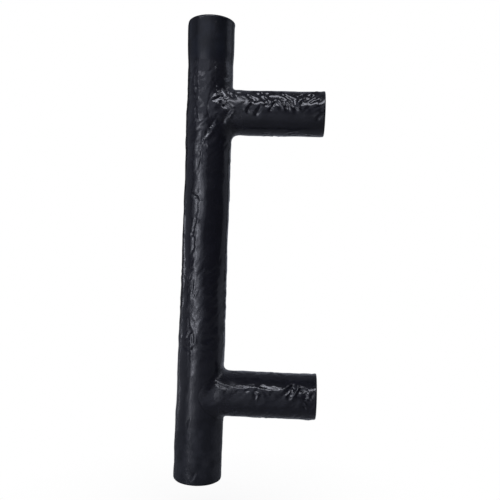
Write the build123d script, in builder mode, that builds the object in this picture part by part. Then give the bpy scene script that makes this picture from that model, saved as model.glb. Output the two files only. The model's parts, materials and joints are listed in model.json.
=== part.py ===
from build123d import *
import os

# Bar pull handle in hammered steel: a round grip tube carried off the door by two coped tube posts.
# The tubes are welded at the saddles. Discs close the grip, and tapped inserts in the feet take
# bolts from the far side of the door.
#
# Frame: the door face is the plane y = 0 and the handle stands out from it towards -Y. +Z runs up
# the grip. The origin lies on the door face, midway between the two fixing holes.
# All sizes are in millimetres.

# ---- Driving dimensions ----
hole_spacing = 160.0  # between the two fixing holes
overhang_above = 51.5  # grip beyond the upper post's centre
overhang_below = 49.5  # grip beyond the lower post's centre
grip_standoff = 65.8  # door face to the grip's centre line
grip_diameter = 26.7  # a 26.9 mm tube, drawn down a little by hammering
post_diameter = 25.6  # a 25.4 mm tube and its coat
tube_wall = 2.0
edge_round = 1.0  # worn outer edge of a grip end
foot_round = 0.7  # outer edge of a post's foot

saddle_gap = 1.5  # root gap between the grip and a coped post, filled by the weld
saddle_weld_radius = 3.5  # concave face of the saddle weld
seam_groove = 0.8  # leg of the V groove that a seam weld fills, ground flush

cap_thickness = 3.0
vent_diameter = 5.0  # lets air out of the grip while it is welded and coated

insert_length = 18.0
tapping_diameter = 6.8  # drilled for an M8 x 1.25 thread

# ---- Worked-out sizes ----
grip_radius = grip_diameter / 2
grip_bore_radius = grip_radius - tube_wall
post_radius = post_diameter / 2
post_bore_radius = post_radius - tube_wall
grip_bottom = -hole_spacing / 2 - overhang_below
grip_top = hole_spacing / 2 + overhang_above
grip_length = grip_top - grip_bottom
post_heights = {"upper": hole_spacing / 2, "lower": -hole_spacing / 2}
grip_axis = Axis((0, -grip_standoff, 0), (0, 0, 1))

os.makedirs("parts", exist_ok=True)

# ---- Grip tube: outer edges rounded over, bore mouths bevelled for the cap welds ----
with BuildPart() as grip_tube:
    with BuildSketch(Plane((0, -grip_standoff, grip_bottom))):
        Circle(grip_radius)
        Circle(grip_bore_radius, mode=Mode.SUBTRACT)
    extrude(amount=grip_length)
    end_edges = grip_tube.edges().filter_by(GeomType.CIRCLE).group_by(SortBy.RADIUS)
    chamfer(end_edges[0], seam_groove)
    fillet(end_edges[-1], edge_round)
    # A vent through the door side of the wall, opening into each post.
    with BuildSketch(Plane.XZ.offset(grip_standoff)):
        with GridLocations(0, hole_spacing, 1, 2):
            Circle(vent_diameter / 2)
    extrude(amount=-grip_radius, mode=Mode.SUBTRACT)

grip_tube.part.label = "grip_tube"
export_step(grip_tube.part, "parts/grip_tube.step")

# ---- Grip ends: a bevelled disc in each mouth of the tube and the seam weld round it ----
for end, end_height, inward in (("top", grip_top, -1), ("bottom", grip_bottom, 1)):
    with BuildPart() as end_cap:
        with BuildSketch(Plane((0, -grip_standoff, end_height))):
            Circle(grip_bore_radius)
        extrude(amount=inward * cap_thickness)
        rims = end_cap.edges().filter_by(GeomType.CIRCLE).sort_by(Axis.Z)
        chamfer(rims[-1] if inward < 0 else rims[0], seam_groove)

    end_cap.part.label = f"{end}_end_cap"
    export_step(end_cap.part, f"parts/{end}_end_cap.step")

    with BuildPart() as cap_weld:
        with BuildSketch(Plane.YZ):
            with BuildLine():
                groove_root = (grip_bore_radius - grip_standoff, end_height + inward * seam_groove)
                Polyline(
                    (grip_bore_radius - seam_groove - grip_standoff, end_height),
                    (grip_bore_radius + seam_groove - grip_standoff, end_height),
                    groove_root,
                    close=True,
                )
            make_face()
        revolve(axis=grip_axis)

    cap_weld.part.label = f"{end}_cap_weld"
    export_step(cap_weld.part, f"parts/{end}_cap_weld.step")

# ---- Posts: each with its saddle weld, tapped insert and foot weld ----
for place, height in post_heights.items():
    post_axis = Axis((0, 0, height), (0, 1, 0))

    # Post tube, coped to the grip with a root gap and bevelled inside its foot.
    with BuildPart() as post:
        with BuildSketch(Plane.XZ):
            with Locations((0, height)):
                Circle(post_radius)
                Circle(post_bore_radius, mode=Mode.SUBTRACT)
        extrude(amount=grip_standoff)
        with Locations((0, -grip_standoff, height)):
            Cylinder(grip_radius + saddle_gap, 2 * grip_diameter, mode=Mode.SUBTRACT)
        foot_edges = post.faces().sort_by(Axis.Y)[-1].edges().sort_by(SortBy.RADIUS)
        chamfer(foot_edges[0], seam_groove)
        fillet(foot_edges[-1], foot_round)

    post.part.label = f"{place}_post"
    export_step(post.part, f"parts/{place}_post.step")

    # Saddle weld: what a short filleted tee holds besides the grip, the post and the post's bore.
    with BuildPart() as saddle_weld:
        with Locations((0, -grip_standoff, height)):
            Cylinder(grip_radius, 2 * grip_diameter)
        with BuildSketch(Plane.XZ.offset(grip_standoff)):
            with Locations((0, height)):
                Circle(post_radius)
        extrude(amount=-grip_diameter)
        fillet(saddle_weld.edges().filter_by(GeomType.BSPLINE), saddle_weld_radius)
        with Locations((0, -grip_standoff, height)):
            Cylinder(grip_radius, 2 * grip_diameter, mode=Mode.SUBTRACT)
        with BuildSketch(Plane.XZ.offset(grip_standoff)):
            with Locations((0, height)):
                Circle(post_bore_radius)
        extrude(amount=-grip_diameter, mode=Mode.SUBTRACT)
        add(post.part, mode=Mode.SUBTRACT)

    saddle_weld.part.label = f"{place}_saddle_weld"
    export_step(saddle_weld.part, f"parts/{place}_saddle_weld.step")

    # Tapped insert: a turned plug flush with the foot.
    with BuildPart() as insert:
        with BuildSketch(Plane.XZ):
            with Locations((0, height)):
                Circle(post_bore_radius)
                Circle(tapping_diameter / 2, mode=Mode.SUBTRACT)
        extrude(amount=insert_length)
        plug_rims = insert.edges().filter_by(GeomType.CIRCLE).group_by(SortBy.RADIUS)[-1]
        chamfer(plug_rims.sort_by(Axis.Y)[-1], seam_groove)

    insert.part.label = f"{place}_threaded_insert"
    export_step(insert.part, f"parts/{place}_threaded_insert.step")

    # Foot weld: fills the groove between the post and the insert.
    with BuildPart() as foot_weld:
        with BuildSketch(Plane.XY.offset(height)):
            with BuildLine():
                Polyline(
                    (post_bore_radius - seam_groove, 0),
                    (post_bore_radius + seam_groove, 0),
                    (post_bore_radius, -seam_groove),
                    close=True,
                )
            make_face()
        revolve(axis=post_axis)

    foot_weld.part.label = f"{place}_foot_weld"
    export_step(foot_weld.part, f"parts/{place}_foot_weld.step")
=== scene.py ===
import itertools
import json
import math

import bpy
import numpy as np
from mathutils import Matrix, Vector


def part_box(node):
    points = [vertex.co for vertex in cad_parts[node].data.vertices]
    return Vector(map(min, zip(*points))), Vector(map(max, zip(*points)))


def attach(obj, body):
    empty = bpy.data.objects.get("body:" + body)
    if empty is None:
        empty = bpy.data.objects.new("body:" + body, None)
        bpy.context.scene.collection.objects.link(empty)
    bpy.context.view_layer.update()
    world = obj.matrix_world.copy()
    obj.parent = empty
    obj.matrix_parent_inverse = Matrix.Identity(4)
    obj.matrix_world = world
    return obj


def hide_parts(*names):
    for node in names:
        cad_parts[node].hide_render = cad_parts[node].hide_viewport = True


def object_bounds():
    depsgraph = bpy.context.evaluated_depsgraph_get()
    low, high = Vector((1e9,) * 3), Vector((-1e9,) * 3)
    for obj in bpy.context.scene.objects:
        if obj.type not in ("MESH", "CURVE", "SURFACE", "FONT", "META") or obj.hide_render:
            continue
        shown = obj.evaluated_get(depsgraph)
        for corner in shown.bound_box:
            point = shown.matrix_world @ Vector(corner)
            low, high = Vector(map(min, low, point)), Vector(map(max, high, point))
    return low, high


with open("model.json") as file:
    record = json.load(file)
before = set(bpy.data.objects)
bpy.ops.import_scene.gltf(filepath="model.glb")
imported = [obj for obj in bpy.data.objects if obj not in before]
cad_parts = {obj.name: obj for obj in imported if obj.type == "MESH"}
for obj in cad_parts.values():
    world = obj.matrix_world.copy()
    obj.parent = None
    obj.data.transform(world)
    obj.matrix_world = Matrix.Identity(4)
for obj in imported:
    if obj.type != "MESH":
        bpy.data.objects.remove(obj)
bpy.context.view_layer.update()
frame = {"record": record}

# A hammered steel bar pull under black enamel. The +X side is the one the camera sees.
# Shapes are worked out in millimetres in the CAD frame, and make_piece scales them to metres.
# Materials, lights, floor and camera are in metres.
MM = 0.001


def box_mm(node):
    low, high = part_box(node)
    return np.array(low) / MM, np.array(high) / MM


# ---- Sizes read from the frame ----
grip_low, grip_high = box_mm("grip_tube")
GRIP_R = (grip_high[0] - grip_low[0]) / 2
GRIP_Y = (grip_high[1] + grip_low[1]) / 2
cap_low, cap_high = box_mm("top_end_cap")
GRIP_BORE = (cap_high[0] - cap_low[0]) / 2
CAP_DEEP = cap_high[2] - cap_low[2]
post_low, post_high = box_mm("upper_post")
POST_R = (post_high[2] - post_low[2]) / 2
plug_low, plug_high = box_mm("upper_threaded_insert")
POST_BORE = (plug_high[0] - plug_low[0]) / 2
PLUG_DEEP = plug_high[1] - plug_low[1]
seam_low, seam_high = box_mm("top_cap_weld")
SEAM = seam_high[2] - seam_low[2]
POST_Z = {}
for place in ("upper", "lower"):
    low, high = box_mm(f"{place}_post")
    POST_Z[place] = (low[2] + high[2]) / 2
mounts = {m["name"]: m for m in frame["record"]["mounts"]}
TAP_R = mounts["upper_tapped_hole"]["dims"]["r_mm"]

# ---- Sizes the frame doesn't give ----
SADDLE_GAP = 1.5  # between the grip and a coped post, filled by the weld
COPE_R = GRIP_R + SADDLE_GAP
VENT_R = 2.5  # holes from the grip into the posts
GRIP_EDGE = 1.0  # rounded outer edge of a grip end
FOOT_EDGE = 0.7  # rounded outer edge of a foot
SINK = 0.45  # how far a tube's skin drops under a saddle weld
TOE_FADE = 1.2  # the drop is spread over this much from the weld's toe inwards
SNUG = 0.02  # keeps two pieces from sharing a surface
THREAD_PITCH = 1.25
THREAD_DEEP = 0.62

# ---- Mesh fineness ----
GRIP_COLUMNS = 180
GRIP_ROWS = 470
BORE_ROWS = 28
POST_COLUMNS = 224
POST_ROWS = 150
INSERT_COLUMNS = 96
THREAD_ROWS = 144
WELD_ROWS = 19
VENT_HALF = 5  # half the side of the square of cells that a vent takes out of each wall
VENT_REACH = 3.6  # rows of the bore this near a vent match the rows of the outer wall

grip_angles = math.pi / 2 + np.arange(GRIP_COLUMNS) * 2 * math.pi / GRIP_COLUMNS
post_angles = np.arange(POST_COLUMNS) * 2 * math.pi / POST_COLUMNS


# ---- Noise ----
def smooth(low, high, value):
    t = np.clip((value - low) / (high - low), 0, 1)
    return t * t * (3 - 2 * t)


def noise(points, size, seed):
    """Gradient noise of roughly -1 to 1, with features about size mm across."""
    rng = np.random.default_rng(seed)
    order = np.tile(rng.permutation(256), 3)
    slopes = rng.normal(size=(256, 3))
    slopes /= np.linalg.norm(slopes, axis=1, keepdims=True)
    scaled = points / size + 40.0
    cell = np.floor(scaled).astype(int)
    part = scaled - cell
    ease = part ** 3 * (part * (part * 6 - 15) + 10)
    total = np.zeros(len(points))
    for corner in itertools.product((0, 1), repeat=3):
        at = (cell + corner) & 255
        index = order[order[order[at[:, 0]] + at[:, 1]] + at[:, 2]]
        weight = np.prod(np.where(np.array(corner, bool), ease, 1 - ease), axis=1)
        total += weight * np.einsum("ij,ij->i", slopes[index], part - corner)
    return total * 1.5


def creases(points, size, seed):
    """Sharp valleys between rounded swells, as in crumpled foil: 0 in a valley, about 1 on a swell."""
    swell = noise(points, size, seed)
    return np.sqrt(swell * swell + 0.002)


def dents(points, size, seed):
    """Overlapping hammer marks: shallow bowls about size mm across that meet in low ridges."""
    rng = np.random.default_rng(seed)
    order = np.tile(rng.permutation(256), 3)
    jitter = rng.uniform(0.1, 0.9, size=(256, 3))
    depth = rng.uniform(0.0, 0.35, size=256)
    scaled = points / size + 40.0
    cell = np.floor(scaled).astype(int)
    gather = np.zeros(len(points))
    for step in itertools.product((-1, 0, 1), repeat=3):
        at = (cell + step) & 255
        index = order[order[order[at[:, 0]] + at[:, 1]] + at[:, 2]]
        away = cell + step + jitter[index] - scaled
        reach = np.einsum("ij,ij->i", away, away) + depth[index]
        gather += np.exp(-14.0 * reach)
    return -np.log(gather + 1e-9) / 14.0


# ---- Places on the tubes ----
def on_grip(angle, radius, z):
    """Points at this angle from +X towards +Y round the grip's axis."""
    return np.stack(np.broadcast_arrays(radius * np.cos(angle), GRIP_Y + radius * np.sin(angle), z), axis=-1)


def on_post(angle, radius, y, height):
    """Points at this angle from +X towards +Z round a post's axis."""
    return np.stack(np.broadcast_arrays(radius * np.cos(angle), y, height + radius * np.sin(angle)), axis=-1)


def saddle(angle, tube_radius, grip_radius):
    """Where, along a post's axis, a tube meets a cylinder of grip_radius round the grip's axis."""
    across = tube_radius * np.cos(angle)
    return GRIP_Y + np.sqrt(grip_radius ** 2 - across ** 2)


GRIP_OUT = on_grip(grip_angles, 1.0, 0.0) - on_grip(0.0, 0.0, 0.0)
POST_OUT = on_post(post_angles, 1.0, 0.0, 0.0)

# ---- The hammered surface ----
# Chisel marks and creases on the side that faces +X: (tube, points along the mark, width, depth), in mm.
# A point on the grip is (y from the grip's axis, z). A point on a post is (y, z from the post's axis).
MARKS = [
    ("grip", [(-7.0, 106), (-7.2, 99), (-6.8, 93)], 0.9, 0.40),
    ("grip", [(-6.2, 90.5), (-6.6, 85.5)], 0.9, 0.34),
    ("grip", [(-6.2, 79), (-5.6, 74)], 0.9, 0.34),
    ("grip", [(3.6, 95), (5.0, 93)], 0.8, 0.39),
    ("grip", [(9.6, 91), (12.0, 88)], 0.9, 0.59),
    ("grip", [(5.2, 87.6), (7.2, 86)], 0.8, 0.52),
    ("grip", [(3.6, 84), (8.0, 85.6)], 0.8, 0.47),
    ("grip", [(8.0, 88.4), (9.6, 85.6)], 0.8, 0.47),
    ("grip", [(7.6, 82.6), (10.0, 81.4)], 0.7, 0.34),
    ("grip", [(13.2, 87.6), (16.0, 85)], 0.9, 0.55),
    ("grip", [(14.0, 88.4), (19.6, 89), (21.6, 87.4)], 0.7, 0.39),
    ("grip", [(9.0, 82), (13.4, 78.4), (9.6, 72.6)], 1.1, 0.60),
    ("grip", [(18.6, 81), (20.0, 77.4)], 0.9, 0.26),
    ("grip", [(3.8, 70.4), (2.0, 67), (-0.4, 63.4)], 1.1, 0.50),
    ("grip", [(4.6, 72), (3.0, 69.6)], 0.7, 0.36),
    ("grip", [(-1.6, 62), (-2.6, 60), (-1.0, 58)], 0.8, 0.40),
    ("grip", [(-0.2, 59.6), (0.6, 57.8)], 0.7, 0.30),
    ("grip", [(-3.0, 55), (-3.8, 46)], 0.7, 0.20),
    ("grip", [(-5.8, 30.5), (-3.8, 29.6), (-2.6, 27.4)], 0.8, 0.36),
    ("grip", [(-4.0, 17), (-5.2, 12.5), (-6.0, 9)], 0.7, 0.38),
    ("grip", [(-4.2, 3), (-6.8, -3)], 0.8, 0.22),
    ("grip", [(-7.2, -12), (-8.6, -15.5), (-7.0, -19)], 0.8, 0.32),
    ("grip", [(-7.6, -20), (-5.4, -23.5)], 0.7, 0.28),
    ("grip", [(-4.6, -17), (-4.8, -24)], 0.7, 0.26),
    ("grip", [(-2.6, -22.5), (-4.2, -25.5)], 0.6, 0.26),
    ("grip", [(-5.2, -45.5), (-7.6, -50), (-6.4, -54)], 0.8, 0.34),
    ("grip", [(-4.2, -45), (-3.2, -51)], 0.8, 0.30),
    ("grip", [(-8.2, -53.5), (-5.4, -56.5), (-3.2, -54.5)], 0.9, 0.34),
    ("grip", [(-4.4, -93), (-5.8, -98)], 0.9, 0.14),
    ("grip", [(0.4, -123), (-1.2, -126)], 0.6, 0.55),
    ("upper", [(-41, 9.0), (-34, 8.3), (-28, 8.8)], 1.15, 0.45),
    ("upper", [(-43, 7.5), (-39, 4.6)], 1.05, 0.51),
    ("upper", [(-37, 8.4), (-33.5, 4.8)], 1.05, 0.45),
    ("upper", [(-31, 7.0), (-26.5, 6.4), (-22.5, 4.6)], 1.05, 0.48),
    ("upper", [(-25, 8.6), (-19, 5.2), (-16, 1.4)], 1.15, 0.60),
    ("upper", [(-18.5, 8.0), (-13.8, 7.2)], 1.15, 0.39),
    ("upper", [(-13, 3.0), (-10.4, 7.6), (-4.2, 9.2)], 1.15, 0.60),
    ("upper", [(-11, 4.4), (-7, 8.0)], 0.95, 0.45),
    ("upper", [(-8, 3.8), (-5, 5.6)], 0.95, 0.39),
    ("upper", [(-43, -1.6), (-40.8, 1.0)], 1.0, 0.58),
    ("upper", [(-38.5, -3.6), (-36.4, -0.2)], 1.0, 0.55),
    ("upper", [(-33, 3.2), (-30, -0.6), (-28, 2.2)], 1.0, 0.66),
    ("upper", [(-27.4, 3.4), (-24.6, 0.2)], 1.0, 0.66),
    ("upper", [(-23.0, 3.0), (-20.4, -0.6)], 1.0, 0.66),
    ("upper", [(-18.8, 2.6), (-16.4, -0.8)], 1.0, 0.66),
    ("upper", [(-4.4, -5.6), (-2.6, -4.0)], 0.95, 0.52),
    ("lower", [(-55.5, 7.0), (-51, 5.0), (-46, 3.9)], 0.9, 0.20),
    ("lower", [(-43.5, 3.4), (-39, 3.6), (-35.5, 4.5)], 0.8, 0.20),
    ("lower", [(-34, 4.2), (-26.5, 2.7), (-18, 2.8)], 0.9, 0.22),
    ("lower", [(-34.6, 3.0), (-33.4, 1.4), (-33.8, -0.4)], 0.7, 0.18),
    ("lower", [(-17.8, 3.2), (-13.4, 7.4), (-12.4, 6.0), (-15, 1.6)], 1.1, 0.62),
    ("lower", [(-10.6, 3.2), (-8.6, 5.8), (-6.6, 4.8)], 1.1, 0.56),
    ("lower", [(-6, 2.6), (-4, 0.0), (-2.8, 2.2)], 0.8, 0.44),
    ("lower", [(-7.4, -3.0), (-6.4, -3.8)], 0.8, 0.66),
]


def seen_from(points, tube, turn):
    """Points as a viewer sees them who looks at the tube's axis from this angle round it.

    The first two numbers are the height towards the viewer and the distance outside the tube's wall.
    The other two are a mark's coordinates.
    """
    x, y, z = points.T
    cosine, sine = math.cos(turn), math.sin(turn)
    if tube == "grip":
        away = y - GRIP_Y
        return x * cosine + away * sine, np.hypot(x, away) - GRIP_R, away * cosine - x * sine, z
    rise = z - POST_Z[tube]
    return x * cosine + rise * sine, np.hypot(x, rise) - POST_R, y, rise * cosine - x * sine


# Where the scattered marks go: (tube, how many, from and to along it, first turn round it).
SCATTER = [("grip", 64, (-112, 100), 0.2), ("upper", 34, (-44, -5), 0.31), ("lower", 34, (-44, -5), 0.34)]
LAST_TURN = 0.8


def scattered_marks():
    """More marks of the same kind all round, so the far sides are worked like the near one."""
    rng = np.random.default_rng(7)
    found = []
    for tube, count, ends, first in SCATTER:
        for k in range(count):
            turn = rng.uniform(first, LAST_TURN) * 2 * math.pi
            place, slant = rng.uniform(*ends), rng.normal(0.6, 0.5)
            reach, bend = rng.uniform(2.5, 6.5), rng.normal(0, 0.5)
            width, depth = rng.uniform(0.7, 1.0), rng.uniform(0.12, 0.32)
            across, along = 0.0, place
            line = [(across, along)]
            for heading in (slant - bend, slant + bend):
                across += reach / 2 * math.sin(heading)
                along += reach / 2 * math.cos(heading)
                line.append((across, along))
            if tube != "grip":
                line = [(along, across) for across, along in line]
            found.append((tube, turn, line, width, depth))
    return found


def distance_to(spots, start, end, offset):
    """How far each spot is from the segment, once that is moved sideways by offset."""
    run = end - start
    length = np.linalg.norm(run)
    share = np.clip((spots - start) @ run / length ** 2, 0, 1)[:, None]
    side = np.array([-run[1], run[0]]) / length
    return np.linalg.norm(spots - start - share * run - side * offset, axis=1)


def marked(points):
    """The marks' part of the relief: a groove with one raised lip for each."""
    total = np.zeros(len(points))
    wobble = [0.32 * noise(points, 3.2, seed) for seed in (14, 15)]
    beads = np.clip(0.75 + 0.9 * noise(points, 2.4, 16), 0.1, 1.4)
    every = [(tube, 0.0, line, width, depth) for tube, line, width, depth in MARKS] + scattered_marks()
    for tube, turn, line, width, depth in every:
        out, above, u, v = seen_from(points, tube, turn)
        u, v = u + wobble[0], v + wobble[1]
        line = np.array(line)
        low, high = line.min(0) - 4 * width, line.max(0) + 4 * width
        # A placed mark may run out over a weld, which stands well above the tube's wall.
        own = above < (8.0 if turn == 0 else 2.5)
        near = np.flatnonzero(own & (out > 2) & (u > low[0]) & (u < high[0]) & (v > low[1]) & (v < high[1]))
        if not len(near):
            continue
        spots = np.stack([u[near], v[near]], axis=1)
        pieces = list(zip(line[:-1], line[1:]))
        away = np.min([distance_to(spots, start, end, 0.0) for start, end in pieces], axis=0)
        lip = np.min([distance_to(spots, start, end, 1.5 * width) for start, end in pieces], axis=0)
        ease = smooth(2.0, 5.0, out[near]) * beads[near]
        total[near] += ease * depth * (0.75 * np.exp(-(lip / width) ** 2) - np.exp(-(away / width) ** 2))
    return total


# Broad hammered flats on the grip: (arc from +X towards +Y, z, half of the arc, half of the length), in mm.
FLATS = [
    (-4.0, -38, 3.2, 15), (-3.4, 34, 3.0, 8), (-4.6, 4, 2.6, 9), (-3.0, 52, 2.6, 7), (8.0, 12, 4.0, 12),
    (16.0, -24, 4.2, 14), (24.0, 30, 4.0, 16), (30.0, -8, 4.4, 12), (-20.0, 44, 4.2, 14),
    (-26.0, 8, 4.0, 13), (-33.0, -34, 4.2, 15), (-16.0, -16, 3.8, 12), (20.0, -66, 4.0, 10),
    (-24.0, 86, 4.0, 11),
]

# The same on the upper post: (arc from +X towards +Z, y, half of the arc, half of the length), in mm.
POST_FLATS = [
    (5.7, -39.5, 3.3, 4.0), (6.4, -31.0, 3.2, 4.4), (5.0, -22.0, 3.2, 3.2), (4.4, -16.2, 3.4, 2.4),
    (6.2, -8.6, 3.3, 2.4), (5.4, -2.8, 3.2, 2.0),
]

# The grip's radius against a plain tube's: (z, mm).
GIRTH = [
    (-130, 0.0), (-112, 0.34), (-104, 0.30), (-92, 0.10), (-56, -0.02), (-45, -0.36), (-20, -0.6),
    (1, -0.56), (12, -0.32), (23, -0.40), (34, 0.04), (45, -0.04), (57, -0.38), (95, -0.42),
    (106, -0.58), (113, -0.16), (118, 0.0), (131, 0.06),
]

# How far the grip's upper end leans from the plain tube's axis, towards +Y: (z, mm).
LEAN = [(60, 0.0), (95, -0.16), (112, -0.22), (125, -0.45), (129, -0.42), (131, -0.12)]

# Where the forging seam runs on the grip: (z, mm of arc from the +X side towards +Y).
SEAM_LINE = [
    (-130, -3.5), (-95, -4.6), (-62, -4.0), (-45, -4.6), (-30, -6.4), (-12, -5.0), (4, -3.8),
    (22, -2.4), (45, -2.2), (68, -3.2), (88, -4.6), (108, -4.6), (132, -4.0),
]


def along_z(table, z):
    return np.interp(z, [row[0] for row in table], [row[1] for row in table])


def bump_at(points, centre, radius):
    """1 at the centre, fading to 0 round it."""
    gap = np.linalg.norm(points - np.array(centre), axis=1) / radius
    return np.exp(-gap * gap)


def flat_at(arc, along, flat):
    """1 in the middle of a hammered flat, fading to 0 round it."""
    arc_middle, along_middle, half_arc, half_length = flat
    return np.exp(-((arc - arc_middle) / half_arc) ** 2 - ((along - along_middle) / half_length) ** 2)


def foil(points, post_share, junction):
    """Foil-like creases along one diagonal. The finest are weak on the posts and the upper weld."""
    x, y, z = points.T
    diagonal = np.stack([x, (y + z) * 0.45, (y - z) * 0.9], axis=1)
    warp = np.stack([noise(points, 6.0, seed) for seed in (11, 12, 13)], axis=1)
    bent = diagonal + 1.8 * warp
    fine = 0.28 * creases(bent, 2.8, 22) + 0.07 * creases(bent, 1.5, 23)
    calm = np.maximum(post_share, np.clip(junction, 0, 1))
    return (0.85 + 0.35 * post_share) * creases(bent, 5.6, 21) + (1 - 0.85 * calm) * fine


def crinkle(points, post_share, junction, rise):
    """How strongly the creases show: most by the upper weld and along the upper post's upper side."""
    y, z = points[:, 1], points[:, 2]
    mottled = smooth(2.0, -12.0, z) * smooth(-58.0, -46.0, z)
    mottled += 0.6 * smooth(38.0, 46.0, z) * smooth(66.0, 58.0, z)
    upper_end = smooth(58.0, 66.0, z) * smooth(106.0, 98.0, z)
    on_the_grip = 0.10 + 0.5 * junction + 0.20 * mottled + 0.24 * upper_end
    up_side = smooth(-0.25, 0.30, rise) * (1 - 0.95 * smooth(0.46, 0.64, rise))
    on_a_post = np.where(z > 0, 0.06 + 0.38 * up_side * smooth(-50.0, -44.0, y), 0.25)
    return on_the_grip * (1 - post_share) + on_a_post * post_share


def forging_seam(points, angle):
    """A wandering crease with a raised lip on its +Y side. It fades towards the upper weld."""
    x, z = points[:, 0], points[:, 2]
    jag = 0.8 * noise(points, 5.0, 51) + 0.4 * noise(points, 2.0, 52)
    off = GRIP_R * angle - along_z(SEAM_LINE, z) - jag
    lip = np.exp(-(off / 0.8) ** 2) - 0.7 * np.exp(-((off + 1.3) / 0.8) ** 2)
    shown = smooth(-78.0, -56.0, z) * (x > 0)
    shown *= (1 - 0.65 * smooth(58.0, 68.0, z)) * (1 - 0.6 * smooth(18.0, 28.0, z))
    return 0.20 * lip * shown * np.clip(0.6 + 0.9 * noise(points, 9.0, 53), 0, 1.2)


def relief(points):
    """How far the finished skin stands off the plain tubes, in mm, at points on the tubes."""
    x, y, z = points.T
    post_share = smooth(-55.0, -47.0, y)
    plain_top = smooth(97.0, 109.0, z)
    plain_low = smooth(-88.0, -104.0, z) * (1 - post_share)
    foot = smooth(-3.0, 0.0, y)
    rise = (z - np.where(z > 0, POST_Z["upper"], POST_Z["lower"])) / POST_R
    angle = np.arctan2(y - GRIP_Y, x)
    junction = bump_at(points, (10.0, -59.5, 82.0), 10.5) + 0.6 * bump_at(points, (12.0, -69.0, 61.0), 6.0)

    waves = 0.40 * noise(points, 24.0, 31) + 0.22 * noise(points, 11.0, 32)
    hammered = dents(points, 8.5, 41) - 0.16
    height = waves + 0.42 * hammered
    height *= (1 - 0.8 * plain_top) * (1 - 0.4 * plain_low) * (1 - 0.6 * post_share)
    shown = crinkle(points, post_share, junction, rise) * (1 - 0.96 * plain_top) * (1 - 0.8 * plain_low)
    height += 1.15 * shown * (foil(points, post_share, junction) - 0.28)
    height += 0.13 * noise(points, 3.2, 33) * plain_low

    # The upper post's flats press most of the finer work out.
    arc = POST_R * np.arctan2(z - POST_Z["upper"], x)
    middles = [flat_at(arc, y, flat) * post_share for flat in POST_FLATS]
    pressed = np.max(middles, axis=0)
    height *= 1 - 0.8 * pressed
    for flat, middle in zip(POST_FLATS, middles):
        height -= 0.036 * flat[2] ** 2 * middle
    height += marked(points) * (1 - 0.35 * pressed)

    height += forging_seam(points, angle) * (1 - post_share) * (1 - plain_top)
    for flat in FLATS:
        height -= 0.030 * flat[2] ** 2 * flat_at(GRIP_R * angle, z, flat) * (1 - post_share)

    # The hammer leaves the grip's ends full and its middle lean, and each post sags a little off its axis.
    drift = along_z(GIRTH, z) + along_z(LEAN, z) * np.sin(angle)
    sag = np.where(z > 0, (-0.2 - 0.4 * rise) * smooth(-52.0, -42.0, y), -0.14 - 0.50 * rise)
    height += drift * (1 - post_share) + np.where(np.abs(rise) < 1.3, sag, 0) * post_share
    return height * (1 - 0.6 * foot)


# ---- Mesh building ----
def make_piece(name, points, faces):
    mesh = bpy.data.meshes.new(name)
    mesh.from_pydata((np.asarray(points) * MM).tolist(), [], faces)
    mesh.update()
    piece = bpy.data.objects.new(name, mesh)
    bpy.context.scene.collection.objects.link(piece)
    mesh.validate()
    for polygon in mesh.polygons:
        polygon.use_smooth = True
    mesh.set_sharp_from_angle(angle=math.radians(52))
    return piece


def signed_volume(points, faces):
    triangles = []
    for face in faces:
        for k in range(1, len(face) - 1):
            triangles.append((face[0], face[k], face[k + 1]))
    a, b, c = (points[corner] for corner in np.array(triangles).T)
    return float(np.einsum("ij,ij->i", a, np.cross(b, c)).sum() / 6)


def band(rows, columns, wrap):
    """Quads between neighbouring rows, each row a closed ring. wrap joins the last row to the first."""
    r = np.arange(rows if wrap else rows - 1)[:, None]
    c = np.arange(columns)[None, :]
    after = (r + 1) % rows
    right = (c + 1) % columns
    corners = [r * columns + c, r * columns + right, after * columns + right, after * columns + c]
    return np.stack(corners, axis=2).reshape(-1, 4)


def ring_piece(node, rings, poles=None, drop=(), extra=()):
    """A closed piece that replaces a CAD node: a torus of rings, or a ball of them between two poles."""
    grid = np.array(rings)
    rows, columns = grid.shape[:2]
    points = grid.reshape(-1, 3)
    quads = band(rows, columns, wrap=poles is None)
    faces = [tuple(quad) for k, quad in enumerate(quads.tolist()) if k not in drop]
    faces += list(extra)
    if poles is not None:
        points = np.vstack([points, poles])
        first, last = rows * columns, rows * columns + 1
        for c in range(columns):
            right = (c + 1) % columns
            faces.append((first, right, c))
            faces.append(((rows - 1) * columns + c, (rows - 1) * columns + right, last))
    if signed_volume(points, faces) < 0:
        faces = [face[::-1] for face in faces]
    piece = make_piece("visual_" + node, points, faces)
    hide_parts(node)
    return piece


def round_edge(radius, edge, steps, end, inward):
    """Radii and positions over a rounded end edge, from just past the wall to the end face."""
    turn = np.linspace(0, math.pi / 2, steps)[1:]
    return radius - edge + edge * np.cos(turn), end + inward * edge * (1 - np.sin(turn))


# ---- Where each saddle weld ends ----
def weld_reach(place, angle):
    """The weld's toes at this angle round the post: mm along the post and mm over the grip."""
    top, bottom = {"upper": (2.4, 4.8), "lower": (2.4, 2.9)}[place]
    side_share = np.cos(angle) ** 2
    ends = np.where(np.sin(angle) > 0, top, bottom)
    arm = np.sin(2 * angle) ** 2 * (np.sin(angle) < 0) * (place == "upper")
    edge = on_post(angle, POST_R, saddle(angle, POST_R, GRIP_R), POST_Z[place])
    ragged = 0.55 * noise(edge, 5.0, 61) + 0.25 * noise(edge, 2.2, 62)
    ragged *= smooth(0.05, 0.5, side_share)
    along = ends * (1 - side_share) + 5.9 * side_share + ragged
    over = ends * (1 - side_share) + 3.1 * side_share + 2.2 * arm + ragged
    return along, over


def toe_on_post(place):
    """The weld's edge on the post's wall: a y for each of the post's columns."""
    return saddle(post_angles, POST_R, GRIP_R) + weld_reach(place, post_angles)[0]


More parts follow.
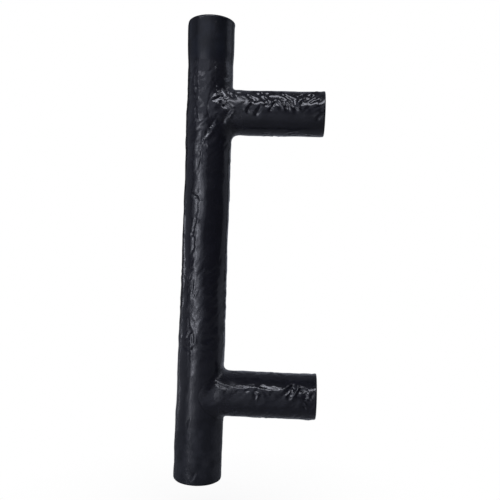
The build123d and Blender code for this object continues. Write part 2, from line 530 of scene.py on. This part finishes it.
def unrolled(angle):
    """The saddle's line on the unrolled grip: mm of arc from its +Y side, and mm above the post's axis."""
    return GRIP_R * np.arcsin(POST_R * np.cos(angle) / GRIP_R), POST_R * np.sin(angle)


def toe_on_grip(place, angle):
    """The weld's edge on the unrolled grip, and the way out across it."""
    arc, rise = unrolled(angle)
    step = 1e-3
    arc_b, rise_b = unrolled(angle + step)
    arc_a, rise_a = unrolled(angle - step)
    run = np.hypot(arc_b - arc_a, rise_b - rise_a)
    out_arc, out_rise = (rise_b - rise_a) / run, -(arc_b - arc_a) / run
    over = weld_reach(place, angle)[1]
    return arc + over * out_arc, rise + over * out_rise, out_arc, out_rise


def under_weld_on_grip(points):
    """1 well inside a saddle weld's footprint on the grip, 0 outside its toe."""
    x, y, z = points.T
    covered = np.zeros(len(points))
    angle = np.arange(720) * 2 * math.pi / 720
    for place, height in POST_Z.items():
        close = np.flatnonzero((np.abs(z - height) < 24) & (y > GRIP_Y - 8))
        arc = GRIP_R * np.arctan2(x[close], y[close] - GRIP_Y)
        rise = z[close] - height
        toe_arc, toe_rise, out_arc, out_rise = toe_on_grip(place, angle)
        gap = np.hypot(arc[:, None] - toe_arc, rise[:, None] - toe_rise)
        nearest = gap.argmin(1)
        inward = (toe_arc[nearest] - arc) * out_arc[nearest] + (toe_rise[nearest] - rise) * out_rise[nearest]
        depth = np.where(inward > 0, gap.min(1), 0)
        covered[close] = np.maximum(covered[close], smooth(0.0, TOE_FADE, depth))
    return covered


# ---- Grip tube ----
rows_z = np.linspace(grip_low[2] + GRIP_EDGE, grip_high[2] - GRIP_EDGE, GRIP_ROWS)


def grip_skin(heights, radii):
    """Rings of the grip's hammered wall, one for each height."""
    heights, radii = heights[:, None], radii[:, None]
    base = on_grip(grip_angles[None], GRIP_R, heights)
    flat = base.reshape(-1, 3)
    covered = under_weld_on_grip(flat)
    lift = (relief(flat) * (1 - covered) - SINK * covered).reshape(base.shape[:2])
    return list(on_grip(grip_angles[None], radii, heights) + GRIP_OUT * lift[:, :, None])


def rounded_end(end, inward):
    """Rings over a rounded end of the grip, flat where they reach the end face."""
    radii, heights = round_edge(GRIP_R, GRIP_EDGE, 7, end, inward)
    rings = grip_skin(heights, radii)
    rings[-1][:, 2] = end
    return rings


def by_vent(z):
    return min(abs(z - height) for height in POST_Z.values()) < VENT_REACH


def bore_heights():
    """Heights of the bore's rings: the outer wall's rows by the vents, and sparse ones elsewhere."""
    sparse = np.linspace(grip_low[2] + SEAM + 2, grip_high[2] - SEAM - 2, BORE_ROWS)
    kept = []
    for z in sorted([z for z in rows_z if by_vent(z)] + [z for z in sparse if not by_vent(z)]):
        if not kept or by_vent(z) or z - kept[-1] > 1.0:
            kept.append(z)
    return kept


def cut_vent(grid, rows, height):
    """Take a square of cells out of one wall. Returns the cells, and their rim drawn to the vent's circle."""
    cells = set()
    for r in map(min, zip(rows[:-1], rows[1:])):
        cells |= {r * GRIP_COLUMNS + c % GRIP_COLUMNS for c in range(-VENT_HALF, VENT_HALF)}
    rim = [(rows[0], c) for c in range(-VENT_HALF, VENT_HALF)] + [(r, VENT_HALF) for r in rows[:-1]]
    rim += [(rows[-1], c) for c in range(VENT_HALF, -VENT_HALF, -1)] + [(r, -VENT_HALF) for r in rows[:0:-1]]
    for r, c in rim:
        x, y, z = grid[r, c % GRIP_COLUMNS]
        stretch = VENT_R / math.hypot(x, z - height)
        radius = math.hypot(x, y - GRIP_Y)
        across, rise = x * stretch, (z - height) * stretch
        grid[r, c % GRIP_COLUMNS] = (across, GRIP_Y + math.sqrt(radius ** 2 - across ** 2), height + rise)
    return cells, [r * GRIP_COLUMNS + c % GRIP_COLUMNS for r, c in rim]


def grip_piece():
    bore_z = bore_heights()
    rings = grip_skin(rows_z, np.full(GRIP_ROWS, GRIP_R)) + rounded_end(grip_high[2], -1)
    rings.append(on_grip(grip_angles, GRIP_BORE + SEAM, grip_high[2]))
    rings.append(on_grip(grip_angles, GRIP_BORE, grip_high[2] - SEAM))
    bore_start = len(rings)
    rings += [on_grip(grip_angles, GRIP_BORE, z) for z in reversed(bore_z)]
    rings.append(on_grip(grip_angles, GRIP_BORE, grip_low[2] + SEAM))
    rings.append(on_grip(grip_angles, GRIP_BORE + SEAM, grip_low[2]))
    rings += rounded_end(grip_low[2], 1)[::-1]

    grid = np.array(rings)
    dropped = set()
    joins = []
    for height in POST_Z.values():
        middle = int(np.argmin(np.abs(rows_z - height)))
        outer_rows = list(range(middle - VENT_HALF, middle + VENT_HALF + 1))
        bore_rows = [bore_start + len(bore_z) - 1 - bore_z.index(rows_z[r]) for r in outer_rows]
        outer_cells, outer_rim = cut_vent(grid, outer_rows, height)
        bore_cells, bore_rim = cut_vent(grid, bore_rows, height)
        dropped |= outer_cells | bore_cells
        for k in range(len(outer_rim)):
            after = (k + 1) % len(outer_rim)
            joins.append((outer_rim[k], outer_rim[after], bore_rim[after], bore_rim[k]))
    return ring_piece("grip_tube", grid, drop=dropped, extra=joins)


# ---- Grip ends ----
def end_pieces(end, z_end, inward):
    """The disc and the seam weld that close one end of the grip."""
    seam_in, seam_out = GRIP_BORE - SEAM, GRIP_BORE + SEAM
    dome = 0.10

    def ring_at(radius, depth):
        return on_grip(grip_angles, radius, z_end + inward * depth)

    # Disc: faintly dished by the weld's pull, with a soft edge down into the groove.
    rings = []
    for radius in np.linspace(0.8, seam_in - SNUG, 18):
        share = radius / seam_in
        ring = ring_at(radius, dome * (1 - share ** 2))
        ring[:, 2] += 0.05 * noise(ring, 6.0, 71) * (1 - share ** 4)
        rings.append(ring)
    rings.append(ring_at(GRIP_BORE - SNUG, SEAM))
    rings.append(ring_at(GRIP_BORE - SNUG, CAP_DEEP - 0.2))
    rings.append(ring_at(GRIP_BORE - 0.3, CAP_DEEP))
    rings.append(ring_at(3.0, CAP_DEEP))
    centre = on_grip(np.array([0.0]), 0.0, z_end)[0]
    poles = [centre + (0, 0, inward * dome), centre + (0, 0, inward * CAP_DEEP)]
    cap = ring_piece(f"{end}_end_cap", rings, poles=poles)

    # Seam weld: ground flush, with shallow ripples left in it.
    rings = []
    for share in np.linspace(0, 1, 9):
        ring = ring_at(seam_in + (seam_out - seam_in) * share, 0.0)
        ripple = np.cos(grip_angles * 58 + 1.6 * share + 2.2 * noise(ring, 4.0, 72))
        ring[:, 2] -= inward * math.sin(math.pi * share) * (0.035 + 0.02 * ripple)
        rings.append(ring)
    rings.append(ring_at(GRIP_BORE + SNUG, SEAM - 0.05))
    rings.append(ring_at(GRIP_BORE - SNUG, SEAM - 0.05))
    return [cap, ring_piece(f"{end}_cap_weld", rings)]


# ---- Posts ----
def post_skin(place, y, radius):
    """Rings of a post's hammered wall; y and radius have a row for each ring."""
    height = POST_Z[place]
    base = on_post(post_angles[None], POST_R, y, height)
    covered = smooth(0.0, TOE_FADE, toe_on_post(place)[None] - y)
    lift = relief(base.reshape(-1, 3)).reshape(base.shape[:2]) * (1 - covered) - SINK * covered
    return list(on_post(post_angles[None], radius, y, height) + POST_OUT[None] * lift[:, :, None])


def post_piece(place, height):
    cope = saddle(post_angles, POST_R, COPE_R)
    shares = np.linspace(0, 1, POST_ROWS)[:, None]
    rings = post_skin(place, cope + (-FOOT_EDGE - cope) * shares, POST_R)
    radii, ends = round_edge(POST_R, FOOT_EDGE, 6, 0.0, -1)
    rings += post_skin(place, ends[:, None] + np.zeros(POST_COLUMNS), radii[:, None])
    rings[-1][:, 1] = 0.0
    rings.append(on_post(post_angles, POST_BORE + SEAM, 0.0, height))
    for y in (-SEAM, -PLUG_DEEP, saddle(post_angles, POST_BORE, COPE_R)):
        rings.append(on_post(post_angles, POST_BORE, y, height))
    return ring_piece(f"{place}_post", rings)


def weld_sweep(place, height):
    """A concave sheet from the post's skin to the grip's, and its normals. Its rows run round the post."""
    arc, rise, out_arc, out_rise = toe_on_grip(place, post_angles)
    meet = on_post(post_angles, POST_R, saddle(post_angles, POST_R, GRIP_R), height)
    start = on_post(post_angles, POST_R, toe_on_post(place), height)
    turn = math.pi / 2 - arc / GRIP_R
    finish = on_grip(turn, GRIP_R, height + rise)
    along_arc = np.stack([np.sin(turn), -np.cos(turn), np.zeros(POST_COLUMNS)], axis=1)
    leave = out_arc[:, None] * along_arc + out_rise[:, None] * np.array([0.0, 0.0, 1.0])
    pull_start = 2 * np.linalg.norm(meet - start, axis=1)[:, None] * np.array([0.0, -1.0, 0.0])
    pull_end = 2 * np.linalg.norm(finish - meet, axis=1)[:, None] * leave
    t = np.linspace(0, 1, WELD_ROWS)[:, None, None]
    sweep = (2 * t ** 3 - 3 * t ** 2 + 1) * start + (t ** 3 - 2 * t ** 2 + t) * pull_start
    sweep += (3 * t ** 2 - 2 * t ** 3) * finish + (t ** 3 - t ** 2) * pull_end

    around = (np.roll(sweep, -1, axis=1) - np.roll(sweep, 1, axis=1)) / 2
    normal = np.cross(np.gradient(sweep, axis=0), around)
    normal /= np.linalg.norm(normal, axis=2, keepdims=True)
    if (normal[0] * POST_OUT).sum() < 0:
        normal = -normal
    normal[0] = POST_OUT
    normal[-1] = on_grip(turn, 1.0, 0.0) - on_grip(turn, 0.0, 0.0)
    return sweep, normal


def saddle_weld_piece(place, height):
    """The sweep, crowned a little and rippled, and closed behind by the faces against the grip and post."""
    sweep, normal = weld_sweep(place, height)
    flat = sweep.reshape(-1, 3)
    lift = relief(flat).reshape(sweep.shape[:2])
    lumps = 0.5 + 0.5 * noise(flat, 3.4, 81).reshape(sweep.shape[:2])
    t = np.linspace(0, 1, WELD_ROWS)[:, None]
    crown = np.sin(math.pi * t) ** 0.8 * (0.10 + 0.22 * np.cos(post_angles)[None] ** 2)
    crown *= {"upper": 1.3, "lower": 0.4}[place]
    rings = list(sweep + normal * (lift + crown * (0.5 + lumps))[:, :, None])
    under = POST_R - SINK - 0.1
    for radius, grip_radius, shift in ((POST_R - 0.25, GRIP_R - 0.35, 0.0), (POST_BORE, GRIP_R, 0.0),
                                       (POST_BORE, COPE_R, -0.05), (under, COPE_R, 0.0)):
        rings.append(on_post(post_angles, radius, saddle(post_angles, radius, grip_radius) + shift, height))
    return ring_piece(f"{place}_saddle_weld", rings)


def insert_piece(place, height):
    """A turned plug, flush with the foot, with the thread cut through it."""
    angles = np.arange(INSERT_COLUMNS) * 2 * math.pi / INSERT_COLUMNS
    rings = []
    for radius in np.linspace(TAP_R + THREAD_DEEP, POST_BORE - SEAM - SNUG, 16):
        ring = on_post(angles, radius, 0.0, height)
        ring[:, 1] -= 0.012 + 0.010 * np.cos(radius * 9.0)
        rings.append(ring)
    rings.append(on_post(angles, POST_BORE - SNUG, -SEAM, height))
    rings.append(on_post(angles, POST_BORE - SNUG, -PLUG_DEEP + 0.3, height))
    rings.append(on_post(angles, POST_BORE - 0.3, -PLUG_DEEP, height))
    rings.append(on_post(angles, TAP_R + 0.55, -PLUG_DEEP, height))
    for y in np.linspace(-PLUG_DEEP + 0.15, -0.12, THREAD_ROWS):
        phase = (y / THREAD_PITCH + angles / (2 * math.pi)) % 1.0
        tooth = 1 - np.abs(2 * phase - 1)
        groove = np.clip((tooth - 0.12) / 0.76, 0, 1)
        mouth = min(smooth(-0.75, -0.12, y) + smooth(-PLUG_DEEP + 0.8, -PLUG_DEEP + 0.15, y), 1.0)
        groove = np.maximum(groove, 0.92 * mouth)
        rings.append(on_post(angles, TAP_R + THREAD_DEEP * groove, y, height))
    return ring_piece(f"{place}_threaded_insert", rings)


def foot_weld_piece(place, height):
    """The seam weld round the insert, ground flush with the foot."""
    rings = []
    for share in np.linspace(0, 1, 8):
        ring = on_post(post_angles, POST_BORE - SEAM + 2 * SEAM * share, 0.0, height)
        ripple = np.cos(post_angles * 46 + 1.4 * share + 2.0 * noise(ring, 4.0, 91))
        ring[:, 1] -= math.sin(math.pi * share) * (0.03 + 0.02 * ripple)
        rings.append(ring)
    rings.append(on_post(post_angles, POST_BORE + SNUG, -SEAM + 0.05, height))
    rings.append(on_post(post_angles, POST_BORE - SNUG, -SEAM + 0.05, height))
    return ring_piece(f"{place}_foot_weld", rings)


coated = [grip_piece()]
coated += end_pieces("top", grip_high[2], -1)
coated += end_pieces("bottom", grip_low[2], 1)
bare = []
for place, height in POST_Z.items():
    coated += [post_piece(place, height), saddle_weld_piece(place, height)]
    bare.append(insert_piece(place, height))
    coated.append(foot_weld_piece(place, height))


# ---- Materials ----
def new_material(name):
    material = bpy.data.materials.new(name)
    material.use_nodes = True
    tree = material.node_tree
    tree.nodes.clear()
    output = tree.nodes.new("ShaderNodeOutputMaterial")
    shader = tree.nodes.new("ShaderNodeBsdfPrincipled")
    tree.links.new(shader.outputs[0], output.inputs["Surface"])
    return material, tree, shader


def add(tree, kind, links=None, **values):
    """A new node. Values named in_... set its inputs, and the others its own settings."""
    node = tree.nodes.new(kind)
    for key, value in values.items():
        if key.startswith("in_"):
            node.inputs[key[3:].replace("_", " ")].default_value = value
        else:
            setattr(node, key, value)
    for socket, source in (links or {}).items():
        tree.links.new(source, node.inputs[socket])
    return node


def mapped(tree, source, low, high, to_low, to_high):
    """The source's range low to high, carried over to another range and held at its ends."""
    node = add(tree, "ShaderNodeMapRange", {"Value": source})
    node.inputs["From Min"].default_value = low
    node.inputs["From Max"].default_value = high
    node.inputs["To Min"].default_value = to_low
    node.inputs["To Max"].default_value = to_high
    return node.outputs[0]


def worked_out(tree, operation, *sources):
    return add(tree, "ShaderNodeMath", dict(enumerate(sources)), operation=operation).outputs[0]


def blend(tree, factor, first, second):
    """From the first colour to the second. Each is a colour or a node's output."""
    node = add(tree, "ShaderNodeMix", {"Factor": factor}, data_type="RGBA")
    for socket, colour in (("A", first), ("B", second)):
        if isinstance(colour, tuple):
            node.inputs[socket].default_value = (*colour, 1)
        else:
            tree.links.new(colour, node.inputs[socket])
    return node.outputs["Result"]


def enamel():
    """Near-black enamel: glossy where hammered, satin on the plain ends, duller by the saddle welds."""
    material, tree, shader = new_material("black_enamel")
    place = add(tree, "ShaderNodeTexCoord").outputs["Object"]
    split = add(tree, "ShaderNodeSeparateXYZ", {0: place})
    y, z = split.outputs["Y"], split.outputs["Z"]
    cloud = add(tree, "ShaderNodeTexNoise", {"Vector": place}, in_Scale=120.0, in_Detail=4.0).outputs[0]
    fine = add(tree, "ShaderNodeTexNoise", {"Vector": place}, in_Scale=900.0, in_Detail=5.0, in_Roughness=0.6)
    grain = add(tree, "ShaderNodeTexNoise", {"Vector": place}, in_Scale=2600.0, in_Detail=2.0)

    # The plain ends, in metres up the grip.
    plain_top = mapped(tree, z, 0.104, 0.111, 0.0, 0.9)
    plain_low = mapped(tree, z, -0.090, -0.100, 0.0, 1.0)
    plain = worked_out(tree, "MAXIMUM", plain_top, plain_low)

    # Colour: blotched on the plain ends. On the lower end, a paler grey is painted in unevenly as painted
    # light reflected up from the floor.
    glossy = blend(tree, cloud, (0.0030, 0.0032, 0.0060), (0.0062, 0.0064, 0.0112))
    blotches = mapped(tree, cloud, 0.38, 0.62, 0.0, 1.0)
    blotched = blend(tree, blotches, (0.0030, 0.0038, 0.0064), (0.0072, 0.0088, 0.0140))
    # Painted floor light: the lower end's base colour is lifted towards pale grey, more in some blotches than
    # others.
    painted_floor_light_mask = worked_out(tree, "MULTIPLY", mapped(tree, cloud, 0.44, 0.64, 0.35, 0.95), plain_low)
    with_painted_floor_light = blend(tree, painted_floor_light_mask, blotched, (0.0250, 0.0258, 0.0310))
    tree.links.new(blend(tree, plain, glossy, with_painted_floor_light), shader.inputs["Base Color"])

    tree.links.new(mapped(tree, fine.outputs[0], 0.3, 0.7, 0.44, 0.54), shader.inputs["Roughness"])
    tree.links.new(mapped(tree, plain, 0.0, 1.0, 0.15, 0.13), shader.inputs["Specular IOR Level"])
    tree.links.new(mapped(tree, plain, 0.0, 1.0, 1.0, 0.42), shader.inputs["Coat Weight"])
    shader.inputs["Coat IOR"].default_value = 1.5

    # The clear top layer is rougher beside the saddle welds, and evenly satin on the plain ends.
    near = mapped(tree, y, -0.060, -0.054, 0.0, 1.0)
    far = mapped(tree, y, -0.040, -0.046, 0.0, 1.0)
    beside = mapped(tree, worked_out(tree, "ABSOLUTE", z), 0.062, 0.067, 0.0, 1.0)
    sooty = worked_out(tree, "MULTIPLY", worked_out(tree, "MULTIPLY", near, far), beside)
    gloss = mapped(tree, cloud, 0.35, 0.65, 0.04, 0.10)
    gloss = worked_out(tree, "ADD", gloss, mapped(tree, sooty, 0.0, 1.0, 0.0, 0.20))
    gloss = add(tree, "ShaderNodeMix", {"Factor": plain, "A": gloss}, data_type="FLOAT")
    gloss.inputs["B"].default_value = 0.17
    tree.links.new(gloss.outputs[0], shader.inputs["Coat Roughness"])

    # Orange peel and a finer grain.
    peel = add(tree, "ShaderNodeBump", {"Height": fine.outputs[0]}, in_Strength=0.16, in_Distance=0.0004)
    skin = add(tree, "ShaderNodeBump", {"Height": grain.outputs[0], "Normal": peel.outputs[0]},
               in_Strength=0.10, in_Distance=0.0002)
    tree.links.new(skin.outputs[0], shader.inputs["Normal"])
    tree.links.new(skin.outputs[0], shader.inputs["Coat Normal"])
    return material


def turned_steel():
    material, tree, shader = new_material("turned_steel")
    place = add(tree, "ShaderNodeTexCoord").outputs["Object"]
    fine = add(tree, "ShaderNodeTexNoise", {"Vector": place}, in_Scale=1500.0, in_Detail=3.0).outputs[0]
    tree.links.new(blend(tree, fine, (0.38, 0.38, 0.37), (0.54, 0.54, 0.53)), shader.inputs["Base Color"])
    shader.inputs["Metallic"].default_value = 1.0
    tree.links.new(mapped(tree, fine, 0.3, 0.7, 0.25, 0.42), shader.inputs["Roughness"])
    return material


finishes = [(coated, enamel(), "black_powder_coat"), (bare, turned_steel(), "insert_steel")]
for pieces, material, slot in finishes:
    for piece in pieces:
        piece.data.materials.append(material)
        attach(piece, "root")

# ---- Studio ----
low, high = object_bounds()
centre = (low + high) / 2
BLUE = (0.78, 0.83, 1.0)
PALE = (0.87, 0.89, 1.0)

# Soft rectangular lights that face the part: (name, azimuth in degrees from +X towards +Y, elevation,
# width, height and distance in metres, brightness, colour).
LIGHTS = [
    ("key_soft", -31, 6, 1.32, 1.5, 1.1, 0.42, BLUE),
    ("key_core", -34, 2, 0.58, 0.56, 1.0, 1.35, PALE),
    ("key_line", -38, -1, 0.10, 0.45, 0.95, 3.8, PALE),
    ("left_card", -118, -0.5, 0.18, 0.155, 1.1, 1.8, PALE),
    ("top_strip", -14, 44, 1.5, 0.085, 1.1, 12.0, PALE),
    ("overhead", -4, 58, 0.56, 0.34, 1.0, 6.1, PALE),
    ("left_fill", -98, 6, 1.0, 1.5, 1.1, 0.20, BLUE),
    ("right_fill", 112, 6, 0.72, 1.4, 1.1, 0.20, BLUE),
    ("high_right", 85, 52, 0.8, 0.35, 1.1, 1.3, PALE),
    ("rear", 180, 60, 1.2, 0.9, 1.1, 0.13, BLUE),
    ("back_fill", 165, 8, 0.9, 1.4, 1.1, 0.3, BLUE),
    ("right_card", 108, 24.5, 0.6, 0.12, 1.1, 1.0, BLUE),
]


def panel(name, azimuth, elevation, width, tall, distance, brightness, tint):
    a, e = math.radians(azimuth), math.radians(elevation)
    away = Vector((math.cos(a) * math.cos(e), math.sin(a) * math.cos(e), math.sin(e)))
    data = bpy.data.lights.new(name, "AREA")
    data.shape = "RECTANGLE"
    data.size, data.size_y = width, tall
    data.energy = brightness * width * tall * math.pi
    data.color = tint
    lamp = bpy.data.objects.new(name, data)
    lamp.location = centre + away * distance
    lamp.rotation_mode = "QUATERNION"
    lamp.rotation_quaternion = away.to_track_quat("Z", "Y")
    lamp.visible_camera = False
    bpy.context.scene.collection.objects.link(lamp)
    return lamp


lamps = {light[0]: panel(*light) for light in LIGHTS}


def by_ray(tree, others, camera):
    """One shader for the camera's own rays and another for every other ray."""
    is_camera = tree.nodes.new("ShaderNodeLightPath").outputs["Is Camera Ray"]
    return add(tree, "ShaderNodeMixShader", {0: is_camera, 1: others, 2: camera}).outputs[0]


world = bpy.data.worlds.new("studio")
bpy.context.scene.world = world
world.use_nodes = True
tree = world.node_tree
tree.nodes.clear()
dim = add(tree, "ShaderNodeBackground", in_Color=(0.88, 0.90, 1.0, 1), in_Strength=0.03)
white = add(tree, "ShaderNodeBackground", in_Color=(1, 1, 1, 1), in_Strength=1.0)
sky = tree.nodes.new("ShaderNodeOutputWorld")
tree.links.new(by_ray(tree, dim.outputs[0], white.outputs[0]), sky.inputs["Surface"])

# The floor glows white to the camera, with a faint contact shade. To other rays it is dull pale paper.
reach = 6.0
level = low.z - 0.02
corners = [(x, y, level) for x, y in ((-reach, -reach), (reach, -reach), (reach, reach), (-reach, reach))]
mesh = bpy.data.meshes.new("floor")
mesh.from_pydata(corners, [], [(0, 1, 2, 3)])
floor = bpy.data.objects.new("floor", mesh)
bpy.context.scene.collection.objects.link(floor)
paper = bpy.data.materials.new("pale_paper")
paper.use_nodes = True
tree = paper.node_tree
tree.nodes.clear()
matt = add(tree, "ShaderNodeBsdfDiffuse", in_Color=(0.92, 0.92, 0.92, 1))
sheen = add(tree, "ShaderNodeBsdfAnisotropic", in_Color=(0.42, 0.42, 0.42, 1), in_Roughness=0.22)
dull = add(tree, "ShaderNodeAddShader", {0: matt.outputs[0], 1: sheen.outputs[0]})
contact = add(tree, "ShaderNodeAmbientOcclusion", in_Distance=0.12, samples=8)
shade = blend(tree, contact.outputs["AO"], (0.72, 0.72, 0.74), (1, 1, 1))
glow = add(tree, "ShaderNodeEmission", {"Color": shade}, in_Strength=1.0)
paper_out = tree.nodes.new("ShaderNodeOutputMaterial")
tree.links.new(by_ray(tree, dull.outputs[0], glow.outputs[0]), paper_out.inputs["Surface"])
floor.data.materials.append(paper)


def flag_off(lamp, pieces):
    """Keep a light off the floor and off these pieces."""
    shaded = bpy.data.collections.new("shaded_from_" + lamp.name)
    for piece in [floor] + pieces:
        shaded.objects.link(piece)
    for entry in shaded.collection_objects:
        entry.light_linking.link_state = "EXCLUDE"
    lamp.light_linking.receiver_collection = shaded


# The high lights would show a second time, in the floor. Each of two is kept off one post as well.
flag_off(lamps["high_right"], [])
flag_off(lamps["top_strip"], [bpy.data.objects["visual_upper_post"]])
flag_off(lamps["overhead"], [bpy.data.objects["visual_lower_" + name] for name in ("post", "saddle_weld")])

# ---- Camera ----
CAMERA_AT = (0.3417, -0.01838, -0.0031)  # metres
CAMERA_YAW, CAMERA_PITCH, CAMERA_ROLL = (math.radians(degrees) for degrees in (3.60, 0.75, -1.84))
camera_data = bpy.data.cameras.new("camera")
camera_data.lens = 43.16
camera = bpy.data.objects.new("camera", camera_data)
bpy.context.scene.collection.objects.link(camera)
bpy.context.scene.camera = camera
# Looks along -X with +Z up, then turned a little.
aim = Matrix.Rotation(CAMERA_YAW, 3, "Z") @ Matrix(((0, 0, 1), (1, 0, 0), (0, 1, 0)))
aim = aim @ Matrix.Rotation(CAMERA_PITCH, 3, "X") @ Matrix.Rotation(-CAMERA_ROLL, 3, "Z")
camera.matrix_world = Matrix.Translation(CAMERA_AT) @ aim.to_4x4()

scene = bpy.context.scene
scene.view_settings.view_transform = "Standard"
scene.view_settings.look = "None"
